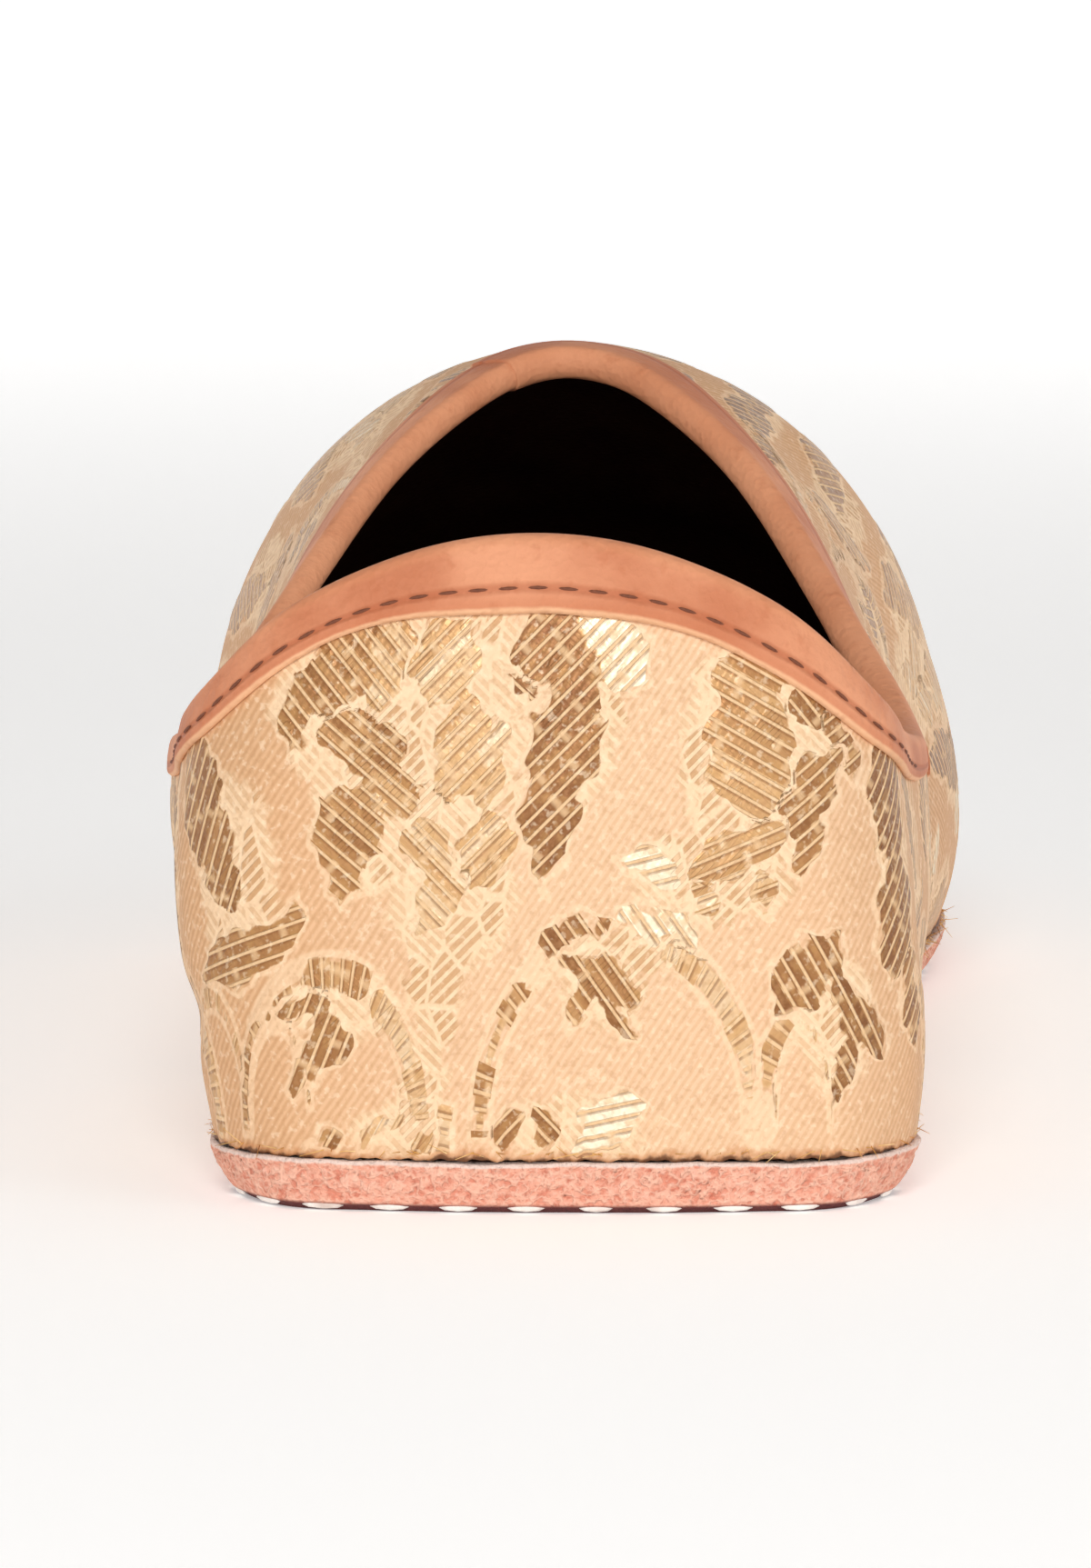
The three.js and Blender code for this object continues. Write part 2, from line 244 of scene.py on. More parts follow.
# Sections of the last in millimetres, a row for each, from the back of the heel to the toe's tip.
COLUMNS = ("at", "half", "crown_at", "crown", "tilt", "reach", "slope", "over", "collar")
NONE = math.nan
SECTIONS = (
    (1.1, 0, 46, 92, 90, 36, 178, 44, 60.6),
    (1.8, 15, 46, 92, 90, 36, 178, 44, 58.2),
    (4.6, 26.2, 46, 90, 87, 35, 178, 43, 52.8),
    (12, 31, 48, 86, 78, 31, 177, 42, 46.4),
    (29, 31.3, 54, 80, 71, 29, 174, 41, 41),
    (47, 30.7, 60, 76, 68, 29, 170, 41, 38.2),
    (63, 29.8, 70, 73, 67, 30, 168, 40, 36.8),
    (79, 28.8, 82, 69, 65, 31, 168, 36, 38.2),
    (93, 28.1, 94, 66, 62, 29, 169, 31, 43),
    (108, 28.1, 108, 66, 60, 26, 172, 29, 50.4),
    (124, 29, 124, 67.6, 58, 24, 175, 29, 60),
    (133, 29.8, 133, 68.8, 57, 23, 176, 29, 65.8),
    (141, 31, 141, 69.8, 57, 22, 177, 30, 69.8),
    (163, 34.8, 162, 69, 60, 21, 177, 38, NONE),
    (187, 36.8, 184, 60, 66, 19, 177, 37, NONE),
    (212, 33.8, 207, 48.2, 67, 16, 177, 30, NONE),
    (236, 26.2, 229, 37.8, 66, 12, 178, 23, NONE),
    (257, 16.8, 248, 31.2, 66, 10, 178, 16, NONE),
    (272.5, 8.4, 261, 28, 68, 8, 178, 12, NONE),
    (279.9, 0, 267, 26.9, 70, 7, 178, 10, NONE),
)
NUDGE, NUDGE_UP = 0.05, 0.002
BELOW_CROWN = 0.999
HALVINGS = 30
ARCH_AT, ARCH_HALF_SPAN, ARCH_RISE = 108, 40, 1.5
SPRING_FROM, SPRING_RISE, SHOE_LENGTH = 203, 14, 281
LEAN_SHIFT, LEAN_FULL_ABOVE, LEAN_FROM, LEAN_TO = 2.3, 38, 165, 230

table = {name: np.array([row[i] for row in SECTIONS], float) for i, name in enumerate(COLUMNS)}
half_knots = np.concatenate(([0], np.cumsum(np.hypot(np.diff(table["at"]), np.diff(table["half"])))))
TOE = half_knots[-1]
RING = 2 * TOE
THROAT = half_knots[np.count_nonzero(np.isfinite(table["collar"])) - 1]
ring_knots = np.concatenate((half_knots, RING - half_knots[-2:0:-1]))
ring = {name: np.concatenate((values, values[-2:0:-1])) for name, values in table.items()}
ring["x"] = np.concatenate((table["half"], -table["half"][-2:0:-1]))


def smooth(value, low, high):
    share = np.clip((value - low) / (high - low), 0, 1)
    return share * share * (3 - 2 * share)


def column_slopes(values):
    """The slope of a column at each row of the ring, from the rows on either side of it."""
    before, after = np.roll(values, 1), np.roll(values, -1)
    left_span = np.mod(ring_knots - np.roll(ring_knots, 1), RING)
    right_span = np.mod(np.roll(ring_knots, -1) - ring_knots, RING)
    left, right = (values - before) / left_span, (after - values) / right_span
    mixed = (left * right_span + right * left_span) / (left_span + right_span)
    return np.where(np.isnan(left), right, np.where(np.isnan(right), left, mixed))


slopes = {name: column_slopes(values) for name, values in ring.items()}


def along(name, knot):
    """A column's value at a place round the ring, on a smooth curve through its rows."""
    wrapped = np.mod(knot, RING)
    i = np.searchsorted(ring_knots, wrapped, side="right") - 1
    j = (i + 1) % len(ring_knots)
    span = np.mod(ring_knots[j] - ring_knots[i], RING)
    t = (wrapped - ring_knots[i]) / span
    values, slope = ring[name], slopes[name]
    start = (2 * t**3 - 3 * t**2 + 1) * values[i] + (t**3 - 2 * t**2 + t) * slope[i] * span
    return start + (3 * t**2 - 2 * t**3) * values[j] + (t**3 - t**2) * slope[j] * span


def ground_rise(at):
    across = np.clip((at - ARCH_AT) / ARCH_HALF_SPAN, -1, 1)
    toe = np.maximum(0, (at - SPRING_FROM) / (SHOE_LENGTH - SPRING_FROM))
    return ARCH_RISE * np.cos(across * math.pi / 2) ** 2 + SPRING_RISE * toe**2


def foot_line(knot, inset=0.0, height=0.0):
    """The line round the sole, moved inwards and lifted off the ground by these."""
    def plan(place):
        return np.stack((along("x", place), along("at", place)), -1)

    ahead = plan(knot + NUDGE) - plan(knot - NUDGE)
    ahead /= np.linalg.norm(ahead, axis=-1, keepdims=True)
    outward = np.stack((ahead[..., 1], -ahead[..., 0]), -1)
    points = plan(knot) - outward * np.asarray(inset)[..., None]
    rise = ground_rise(along("at", knot)) + height
    return np.concatenate((points, rise[..., None]), -1)


def section_corners(knot):
    """The four control points of the curve from the foot line to the crown."""
    foot = foot_line(knot)
    foot[..., 2] += SOLE_THICKNESS + CLEARANCE
    crown = np.stack((0 * knot, along("crown_at", knot), along("crown", knot)), -1)
    out = (foot - crown) * (1, 1, 0)
    out /= np.linalg.norm(out, axis=-1, keepdims=True)

    def heading(column):
        angle = np.radians(along(column, knot))[..., None]
        return out * np.cos(angle) + np.array((0, 0, 1)) * np.sin(angle)

    leaving = foot + heading("tilt") * along("reach", knot)[..., None]
    arriving = crown - heading("slope") * along("over", knot)[..., None]
    return foot, leaving, arriving, crown


def on_curve(corners, share):
    t = share[..., None]
    a, b, c, d = corners
    return (1 - t) ** 3 * a + 3 * (1 - t) ** 2 * t * b + 3 * (1 - t) * t**2 * c + t**3 * d


def lean(points):
    risen = smooth(points[..., 2], SOLE_THICKNESS, LEAN_FULL_ABOVE)
    straightened = smooth(points[..., 1], LEAN_FROM, LEAN_TO)
    shifted = points.copy()
    shifted[..., 0] -= LEAN_SHIFT * risen * (1 - straightened)
    return shifted


def last_point(knot, share):
    return lean(on_curve(section_corners(knot), share))


def last_normal(knot, share):
    """The way out of the last, taken just below the crown where the two sides meet in it."""
    share = np.minimum(share, BELOW_CROWN)
    forward = last_point(knot + NUDGE, share) - last_point(knot - NUDGE, share)
    up = last_point(knot, share + NUDGE_UP) - last_point(knot, share - NUDGE_UP)
    normal = np.cross(forward, up)
    return normal / np.linalg.norm(normal, axis=-1, keepdims=True)


def is_open(knot):
    wrapped = np.mod(knot, RING)
    return (wrapped < THROAT - 1e-6) | (wrapped > RING - THROAT + 1e-6)


def collar_share(knot):
    """How far up its section the upper is cut: all the way, but for the opening."""
    opened = is_open(knot)
    height = along("collar", np.where(opened, knot, 0))
    corners = section_corners(knot)
    low, high = np.zeros_like(knot, float), np.ones_like(knot, float)
    for _ in range(HALVINGS):
        middle = (low + high) / 2
        below = on_curve(corners, middle)[..., 2] < height
        low, high = np.where(below, middle, low), np.where(below, high, middle)
    return np.where(opened, low, 1.0)


# Soft troughs worn into the upper: from a point to another point of the last, how wide and how deep.
CREASES = (
    ((-34, 14, 17), (-31, 44, 13), 3.2, 0.9),
    ((-33, 30, 27), (-30, 66, 22), 4.5, 0.6),
    ((33, 22, 22), (31, 58, 14), 4.5, 0.6),
    ((-12, 0, 33), (-24, 2, 26), 5, 0.25),
    ((6, 0, 15), (22, 2, 12), 5, 0.25),
    ((-30, 86, 30), (-27, 104, 16), 6, 0.9),
    ((29, 84, 30), (28, 108, 18), 6, 0.9),
    ((-33, 188, 28), (-6, 200, 53), 4, 0.8),
    ((33, 190, 28), (8, 202, 52), 4, 0.8),
    ((-28, 208, 26), (4, 217, 45), 3.5, 0.5),
    ((-20, 150, 56), (-32, 172, 34), 6, 0.6),
    ((20, 150, 56), (32, 172, 34), 6, 0.6),
)


def crease_depth(points):
    depth = np.zeros(points.shape[:-1])
    for start, end, width, deep in CREASES:
        start, run = np.array(start, float), np.subtract(end, start)
        share = np.clip(((points - start) @ run) / (run @ run), 0, 1)
        gap = np.linalg.norm(points - start - share[..., None] * run, axis=-1)
        depth += deep * np.exp(-((gap / width) ** 2))
    return depth


def on_last(knot, share, proud):
    """Points that stand this proud of the last. Over the vamp's middle both sides agree."""
    normal = last_normal(knot, share)
    mirrored = last_normal(RING - knot, share)
    middle = (share > 0.9999) & ~is_open(knot)
    normal = np.where(middle[..., None], normal + mirrored, normal)
    normal /= np.linalg.norm(normal, axis=-1, keepdims=True)
    point = last_point(knot, share)
    return point + normal * (proud - crease_depth(point))[..., None]


def place(points):
    """Points of the last's own frame, in millimetres, as metres in the part's frame."""
    return (points + (MIDDLE, HEEL, 0)) * MM


def new_grid(across, up):
    """A mesh of a flat grid, and each vertex's place across and up it as shares from 0 to 1."""
    bm = bmesh.new()
    bmesh.ops.create_grid(bm, x_segments=across, y_segments=up, size=1)
    mesh = to_mesh(bm)
    flat = np.empty(len(mesh.vertices) * 3)
    mesh.vertices.foreach_get("co", flat)
    shares = (flat.reshape(-1, 3)[:, :2] + 1) / 2
    return mesh, shares[:, 0], shares[:, 1]


def set_points(mesh, points):
    mesh.vertices.foreach_set("co", place(points).ravel())
    mesh.update()


def set_values(mesh, name, values):
    mesh.attributes.new(name, "FLOAT", "POINT").data.foreach_set("value", np.asarray(values, np.float32))


def weld(mesh, distance=0.02 * MM, outwards=False):
    """Joins the points of a mesh that meet along its seams, and drops faces that have closed up."""
    bm = bmesh.new()
    bm.from_mesh(mesh)
    bmesh.ops.remove_doubles(bm, verts=bm.verts, dist=distance)
    bmesh.ops.dissolve_degenerate(bm, edges=bm.edges, dist=distance / 4)
    if outwards:
        bmesh.ops.recalc_face_normals(bm, faces=bm.faces)
    bm.to_mesh(mesh)
    bm.free()
    shade_smooth(mesh)
    mesh.update()


def add_wall(piece, thickness):
    wall = piece.modifiers.new("wall", "SOLIDIFY")
    wall.thickness = thickness * MM
    wall.offset = -1
    wall.use_even_offset = False


def ring_knot(share, start, end):
    """Places round the ring from start to end, with a grid line kept on the throat's point."""
    knot = start + share * (end - start)
    lines = np.unique(np.round(knot, 6))
    for throat in (THROAT, RING - THROAT):
        if start < throat < end:
            nearest = lines[np.argmin(np.abs(lines - throat))]
            knot = np.where(np.abs(knot - nearest) < 1e-5, throat, knot)
    return knot


mesh, across, up = new_grid(BODY_COLUMNS, BODY_ROWS)
knot = ring_knot(across, 0, RING)
set_points(mesh, on_last(knot, up * collar_share(knot), 0 * knot - CLOTH_THICKNESS - PASTE))
weld(mesh)
upper_leather = new_object("upper_leather", mesh)
add_wall(upper_leather, UPPER_WALL - CLOTH_THICKNESS - PASTE)

material, start = new_material("lining_leather_painted_shade", 0.62, Specular_IOR_Level=0.3)
wear = start.noise(45.0, 5.0)
grain = start.voronoi(1500.0)
# Painted shade: both browns are near black, the leather's own dark brown made darker for the shade inside
# the shoe.
colour = start.blend(wear.step(0.3, 0.75), srgb(38, 17, 8), srgb(74, 40, 22))
connect(material, Base_Color=colour, Roughness=0.5 + 0.25 * wear, height=grain * 0.6 + wear, lift=0.00012)
upper_leather.data.materials.append(material)
lining_material = material
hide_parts("upper")
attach(upper_leather, "root")

# ---- Brocade --------------------------------------------------------------------------------
# A cream twill with raised leaves and arches floated in flat gold thread. Two pieces are cut from
# it and pasted on the leather: the vamp, and a back panel that laps over the vamp at the sides.

BACK_PROUD = 0.42
SEAM_TOP, SEAM_FOOT = 64.0, 57.0
VAMP_LAP = 3
REPEAT_ACROSS, REPEAT_UP = 78.0, 60.0
BAR_PITCH, VEIN = 1.16, 0.42
FIGURE_RISE = 0.12

# The cloth's leaves in millimetres: where each one's middle is, across and up, how long and wide
# it is, how its length lies, how far it bends, how much it thins to its tip, how its gold threads
# lie, and its painted shine, from 0, painted shade, to 1, a painted highlight of its threads.
LEAVES = (
    # across, up, length, width, lie, bend, thin, threads, painted shine
    (-23.6, 45.6, 8.5, 4.2, 72, 0.4, 0.2, -50, 0.22),
    (-20.3, 49.6, 10.5, 6.6, 58, -0.5, 0.1, -50, 0.26),
    (-15.2, 50.2, 10, 4.4, 74, 0.8, 0, -50, 0.58),
    (-18.4, 42.6, 10.5, 5.8, -32, 0.6, 0.1, -40, 0.30),
    (-14.6, 38.8, 10.5, 5.4, -38, -0.6, 0.3, -40, 0.46),
    (-18.9, 33.8, 12.5, 6.2, 82, 0.6, 0.5, -40, 0.28),
    (-10.4, 50.5, 9, 6.4, 62, 0, 0, 45, 0.66),
    (-9.6, 42.8, 11, 5.6, 78, -0.8, 0, 45, 0.62),
    (-12, 35, 9.5, 5.4, 104, 0.5, 0, -45, 0.64),
    (-6.6, 33.2, 8, 4.6, 64, 0.5, 0.2, 45, 0.66),
    (-11, 28.4, 6.5, 4.2, 50, 0.4, 0.2, -45, 0.68),
    (-0.9, 52.4, 9.6, 6.4, 66, 0, 0, 45, 0.08),
    (2, 48.4, 6.4, 4, 76, 0.2, 0, 45, 0.16),
    (4.6, 51.2, 9, 5.4, -52, 0.7, 0.1, 45, 0.95),
    (-0.2, 43.6, 14.6, 6.6, 82, -0.8, 0.1, 45, 0.12),
    (-1.4, 38.4, 6.4, 4.6, 84, 0, 0, 45, 0.14),
    (-3, 47.9, 6, 1.5, -42, 0, 0, -42, 0.05),
    (-0.7, 35.2, 11, 4.8, 82, 0.6, 0.6, 45, 0.10),
    (-6, 41.2, 9.5, 2.8, 80, 0.3, 0.2, 45, 0.74),
    (17.6, 47.6, 9.6, 6.4, -36, 0.4, 0, -30, 0.40),
    (16.8, 41.4, 12, 8.4, -64, 0.6, 0.1, -30, 0.50),
    (22, 46.4, 6.4, 4, -42, 0.2, 0.2, -50, 0.24),
    (23.4, 38.6, 9.6, 5.4, 58, 0.6, 0.1, 38, 0.18),
    (22.8, 33.4, 6.6, 3.2, 76, 0.3, 0.6, 38, 0.22),
    (25.9, 43.9, 4.8, 2.4, 118, 0.3, 0.3, 30, 0.25),
    (27.4, 41, 4.6, 2, 108, 0, 0.3, 30, 0.35),
    (8.6, 31.7, 7, 3.4, -20, 0.3, 0.1, 14, 0.96),
    (15.6, 33.2, 11.5, 4.6, 24, -0.5, 0.2, 22, 0.58),
    (13.4, 28.9, 4.6, 2.4, 44, 0.2, 0.3, 20, 0.66),
    (18.6, 29.8, 4.8, 2.8, 108, 0.2, 0.3, 20, 0.56),
    (-33.6, 35.6, 19, 6.6, 112, 0.8, 0.1, 68, 0.20),
    (-30.4, 23.6, 12.5, 5.2, 24, -0.6, 0.1, 20, 0.34),
    (-24.6, 26.4, 5.4, 2.2, 74, 0.2, -0.4, 20, 0.34),
    (33.2, 37.6, 14.5, 6.4, 98, 0.5, 0.1, 52, 0.02),
    (33, 26.8, 12.5, 6.4, 80, -0.4, 0.1, 52, 0.02),
    (36.4, 18.6, 9.5, 4.4, 96, 0.4, 0.2, 52, 0.20),
    (-4.3, 8, 5.6, 2.9, 58, 0.2, 0.1, 45, 0.16),
    (-1.9, 8.2, 5.4, 2.5, 118, -0.2, 0.1, -45, 0.28),
    (4.2, 8.5, 8, 4.8, 34, 0.3, 0.1, 12, 1),
    (-16.6, 7.6, 5.4, 2.2, 32, 0.2, 0.2, 60, 0.66),
    (-12.4, 7.4, 4.8, 2, 118, 0.2, 0.2, 60, 0.62),
    (-21.6, 7, 3.6, 1.8, 20, 0, 0.2, 60, 0.26),
    (-24.8, 18.2, 9, 3.2, 16, 0.9, 0.2, 68, 0.24),
    (-20.6, 16.6, 7, 3.4, 108, 0.6, -0.2, 68, 0.26),
    (-23, 13, 6.4, 2.2, 62, 0.5, 0.5, 68, 0.30),
    (0.6, 24.3, 10.5, 4, 40, 0.7, 0.1, -55, 0.12),
    (8.8, 25.9, 9.5, 3.4, -20, 0.8, 0.1, -55, 1),
    (3.7, 21.8, 8.4, 4.4, -32, 0.4, 0.2, -55, 0.26),
    (5.3, 18.2, 5.8, 2, -52, 0.3, 0.4, -55, 0.22),
    (1.8, 19.3, 5, 2.4, 62, 0.2, 0.2, -55, 0.34),
    (23, 21.9, 10.5, 5.8, 50, 0.5, 0, 120, 0.16),
    (28, 18.2, 10.5, 4.4, -50, -0.4, 0.1, 120, 0.04),
    (26.7, 13.1, 7.4, 2.8, 72, 0.6, 0.5, 120, 0.10),
    (36, 52, 10, 5, 64, 0.5, 0.1, 45, 0.35),
    (-35.5, 52.5, 10, 5, 118, 0.5, 0.1, -45, 0.40),
    (29.5, 52, 7, 3.6, 100, 0.3, 0.2, 45, 0.62),
)
# The arches between them: middle, half width and height, where the band starts and ends in
# degrees, its width, the pitch of its beads, and its painted shine, as for the leaves.
ARCHES = (
    (-21.2, 8, 9, 14.4, 104, 184, 1.7, 1.2, 0.32),
    (-21, 8, 8.8, 14, 62, 134, 2.8, 1.2, 0.40),
    (-21.2, 8, 8.4, 13.6, -2, 66, 2.6, 1.2, 0.66),
    (-26.2, 8.4, 3.3, 9, 10, 180, 0.7, 0.9, 0.72),
    (5.3, 8, 12.6, 18, 100, 182, 2, 1.3, 0.40),
    (5.3, 8, 12.6, 17.8, -8, 72, 2.6, 1.3, 0.68),
    (5.3, 6, 16, 20.4, 168, 182, 1.6, 1.3, 0.74),
    (30.4, 8, 12.4, 15.2, 132, 188, 2.4, 1.4, 0.56),
    (22.2, 8.2, 2.6, 9.2, 0, 180, 0.7, 0.9, 0.72),
    (30.4, 8, 12, 14.6, -30, 64, 2.4, 1.4, 0.60),
    (-34.6, 8, 4.6, 11, 20, 150, 1.4, 1.2, 0.62),
)

# Sprays of small hatched lozenges that fill the cloth between the leaves: middle, half width and
# half height.
SPRAYS = (
    (-9, 46, 6.5, 13),
    (-10, 30, 6.5, 8),
    (-17.5, 47, 9.5, 9.5),
    (-17, 37, 6, 8),
    (-11.5, 21, 3, 6),
    (-12.4, 11, 2.6, 7),
    (2, 47, 4, 10),
    (18, 42, 7.5, 12),
    (13.5, 31, 8, 4.6),
    (8, 24.5, 5, 2.6),
    (4, 21.5, 4, 5),
    (-20, 19, 6, 3.6),
    (-30.5, 30, 5, 10),
    (34, 33, 3.8, 12),
    (2, 8.4, 6.5, 3.2),
    (-14.5, 8, 5, 2.6),
    (25.5, 17.5, 4.6, 6.5),
    (36, 52, 5, 5),
)


def brocade(across, up):
    """The cloth's pattern at each place: how far inside a leaf or arch it is, which of its bars it
    is on and how far along that bar, its painted shine, and how deep in a spray it is. Leaves whose
    threads lie the same way join, and a pale vein parts the others.
    """
    best = np.full(across.shape, -3.0)
    spray, deepest = best.copy(), {}
    bars, runs, painted_shines = np.zeros_like(best), np.zeros_like(best), np.full_like(best, 0.6)

    def draw(way, depth, phase, run, tone):
        nonlocal best, bars, runs, painted_shines
        deepest[way] = np.maximum(deepest.get(way, -3.0), depth)
        wins = depth > best
        best = np.where(wins, depth, best)
        bars = np.where(wins, phase, bars)
        runs = np.where(wins, run, runs)
        painted_shines = np.where(wins, tone, painted_shines)

    def from_middle(at_across, at_up):
        right = np.mod(across - at_across + REPEAT_ACROSS / 2, REPEAT_ACROSS) - REPEAT_ACROSS / 2
        return right, np.mod(up - at_up + REPEAT_UP / 2, REPEAT_UP) - REPEAT_UP / 2

    sway = 0.34 * np.sin(1.3 * up + 0.5 * across) + 0.22 * np.sin(2.9 * across - 1.7 * up)
    rise = 0.34 * np.sin(1.2 * across - 0.4 * up + 2) + 0.22 * np.sin(2.7 * up + 1.9 * across)
    for u, v, length, width, lie, bend, thin, threads, tone in LEAVES:
        right, above = from_middle(u, v)
        turn, thread = math.radians(lie), math.radians(threads)
        t = ((right + sway) * math.cos(turn) + (above + rise) * math.sin(turn)) / (length / 2)
        side = (above + rise) * math.cos(turn) - (right + sway) * math.sin(turn) - bend * (1 - t * t)
        belly = width / 2 * (1 - np.abs(t) ** 2.4) * (1 + thin * np.clip(t, -1, 1))
        phase = (up * math.cos(thread) - across * math.sin(thread)) / BAR_PITCH
        run = across * math.cos(thread) + up * math.sin(thread)
        draw(threads, belly - np.abs(side), phase, run, tone)
    for i, (u, v, half, height, start, end, width, pitch, tone) in enumerate(ARCHES):
        right, above = from_middle(u, v)
        angle = np.degrees(np.arctan2(above / height, right / half))
        angle = np.where(angle < -90, angle + 360, angle)
        radius = np.hypot(right / half, above / height)
        size = (half + height) / 2
        inside = np.minimum(angle - start, end - angle) * size * math.pi / 180
        depth = np.minimum(width / 2 - np.abs(radius - 1) * size, inside)
        draw(("arch", i), depth, np.radians(angle) * size / pitch + 40 * i, (radius - 1) * size, tone)
    for u, v, half, height in SPRAYS:
        right, above = from_middle(u, v)
        within = 1 - np.hypot((right + sway) / half, (above + rise) / height)
        spray = np.maximum(spray, within * min(half, height))
    second = np.sort(np.stack(list(deepest.values())), axis=0)[-2]
    edge = np.where(best > 0, np.minimum(best, (best - second) * 0.8 - VEIN), best)
    return best, {"figure": edge, "bars": bars, "run": runs, "tone": painted_shines, "spray": spray}


def panel_points(knot, share, proud, depth):
    """Points of a cloth panel, its gold figures raised, and its uneven raw edge down on the sole."""
    points = on_last(knot, share, proud + FIGURE_RISE * smooth(depth, -0.25, 0.3))
    uneven = 0.24 + 0.09 * np.sin(1.9 * knot) + 0.07 * np.sin(4.3 * knot + 1)
    points[:, 2] -= uneven * (1 - smooth(share, 0, 0.035))
    return points


def girth_places(points, columns):
    """The length along each level line of a grid of points, from where it passes the heel's middle."""
    order = points.reshape(-1, columns, 3)
    steps = np.linalg.norm(np.diff(order[..., :2], axis=1), axis=-1)
    run = np.concatenate((np.zeros((len(order), 1)), np.cumsum(steps, axis=1)), axis=1)
    middle = columns // 2
    return (run - run[:, middle : middle + 1] + order[:, middle : middle + 1, 0]).ravel()


def set_cloth(mesh, cloth_across, cloth_up, hem, golden, pattern):
    """Stores a panel's place on the cloth, how far it is from its edge, how much painted shade
    turns its ground a darker gold, and the pattern there."""
    places = {"cloth_across": cloth_across, "cloth_up": cloth_up, "hem": hem, "golden": golden}
    for name, values in {**places, **pattern}.items():
        set_values(mesh, name, values)


def knot_of(at):
    """Place round the ring, on the right side, of a distance from the back of the heel."""
    return np.interp(at, table["at"], half_knots)


def seam_knot(share):
    """Place round the ring of the back panel's edge, this share of the way up to the collar."""
    return knot_of(SEAM_FOOT + (SEAM_TOP - SEAM_FOOT) * share)


def above_sole(points, knot):
    return points[:, 2] - foot_line(knot)[:, 2] - SOLE_THICKNESS


BACK_COLUMNS, BACK_ROWS = 384, 126
HALF_PANEL = 85.0
mesh, across, up = new_grid(BACK_COLUMNS, BACK_ROWS)
spread = 2 * across - 1
spread = 0.75 * spread + 0.25 * spread**3  # closer columns at the heel's middle
knot = seam_knot(up) * spread
share = up * collar_share(knot)
plain = on_last(knot, share, BACK_PROUD + 0 * knot)
cloth_across, cloth_up = girth_places(plain, BACK_COLUMNS + 1), plain[:, 2]
depth, pattern = brocade(cloth_across, cloth_up)
set_points(mesh, panel_points(knot, share, BACK_PROUD, depth))
hem = np.minimum(above_sole(plain, knot), HALF_PANEL * (1 - np.abs(spread)))
# Painted shade: the back panel's ground turns a darker gold towards its sides, away from the heel's lit
# middle.
golden = smooth(np.abs(cloth_across - 6), 8, 40) * 0.9
set_cloth(mesh, cloth_across, cloth_up, hem, golden, pattern)
weld(mesh, 0.001 * MM)
brocade_back = new_object("brocade_back", mesh)

VAMP_COLUMNS, VAMP_ROWS = 400, 120
VAMP_SHIFT = 13
GIRTH_STEPS = np.linspace(0, 1, 25)
mesh, across, up = new_grid(VAMP_COLUMNS, VAMP_ROWS)
first = knot_of(SEAM_FOOT - VAMP_LAP)
knot = ring_knot(across, first, RING - first)
share = up * collar_share(knot)
plain = last_point(knot, share)
corners = section_corners(knot)
out = (corners[0] - corners[3]) * (1, 1, 0)
out /= np.linalg.norm(out, axis=-1, keepdims=True)
path = np.stack([on_curve(corners, share + (1 - share) * step) for step in GIRTH_STEPS], 1)
length = np.linalg.norm(np.diff(path, axis=1), axis=-1).sum(1)
cloth_across = out[:, 0] * length
cloth_up = along("crown_at", knot) + out[:, 1] * length
depth, pattern = brocade(cloth_across + VAMP_SHIFT, cloth_up)
set_points(mesh, panel_points(knot, share, 0.0, depth))
from_seam = np.abs(np.minimum(knot, RING - knot) - seam_knot(up))
hem = np.minimum(above_sole(plain, knot), from_seam)
# The vamp's ground is painted the darker gold all over, as shade on its flanks.
set_cloth(mesh, cloth_across, cloth_up, hem, 1 + 0 * hem, pattern)
weld(mesh)
brocade_vamp = new_object("brocade_vamp", mesh)

for piece in (brocade_back, brocade_vamp):
    add_wall(piece, CLOTH_THICKNESS)
    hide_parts("upper")
    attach(piece, "root")

TWILL_PITCH, TWILL_LIE = 0.66, 56
LOZENGE, HATCH_PITCH, TIE_PITCH = 2.9, 0.86, 7.5
material, start = new_material("gold_brocade", 0.6, Specular_IOR_Level=0.3)
right, above, figure = (start.attribute(name) for name in ("cloth_across", "cloth_up", "figure"))
cloud = start.noise(38.0, 3.0)
slubs = start.noise(900.0, 3.0)

# The ground: a cream twill, its ribs stronger in some places than in others.
lie = math.radians(TWILL_LIE)
wander = start.noise(90.0) * 0.5 + start.noise(420.0) * 0.45
twill = (above * math.cos(lie) - right * math.sin(lie)) * (1 / TWILL_PITCH) + wander
ribs = twill.wave()
ground = start.blend(ribs.step(0.1, 0.8) * (0.4 + cloud), srgb(227, 185, 145), srgb(237, 200, 164))
ground = start.blend(cloud.step(0.35, 0.75) * 0.45, ground, srgb(232, 186, 146))
# Painted shade: a darker gold twill laid over the ground as far as the panel stores it.
golden = start.blend(ribs, srgb(198, 143, 94), srgb(218, 168, 120))
ground = start.blend(start.attribute("golden") * 0.75, ground, golden)

# The sprays: lozenges hatched one way or the other, each with a pale thread round it.
cloth = start.node("ShaderNodeCombineXYZ", None, {"X": right, "Y": above * 0.62, "Z": cloud * 2.0})
lozenge = cloth.voronoi(1 / LOZENGE, output=1)
border = cloth.voronoi(1 / LOZENGE, "DISTANCE_TO_EDGE")
slant = math.sqrt(0.5) / HATCH_PITCH
one_way, other_way = (above + right) * slant, (above - right) * slant
hatch = (one_way + (other_way - one_way) * lozenge.step(0.49, 0.51)).wave().step(0.25, 0.6)
sprig = (start.attribute("spray") + (slubs - 0.5) * 2.4).step(-0.2, 0.9)
pale = (hatch * border.step(0.03, 0.09)) * (0.45 + 0.75 * lozenge.step(0.3, 0.7))

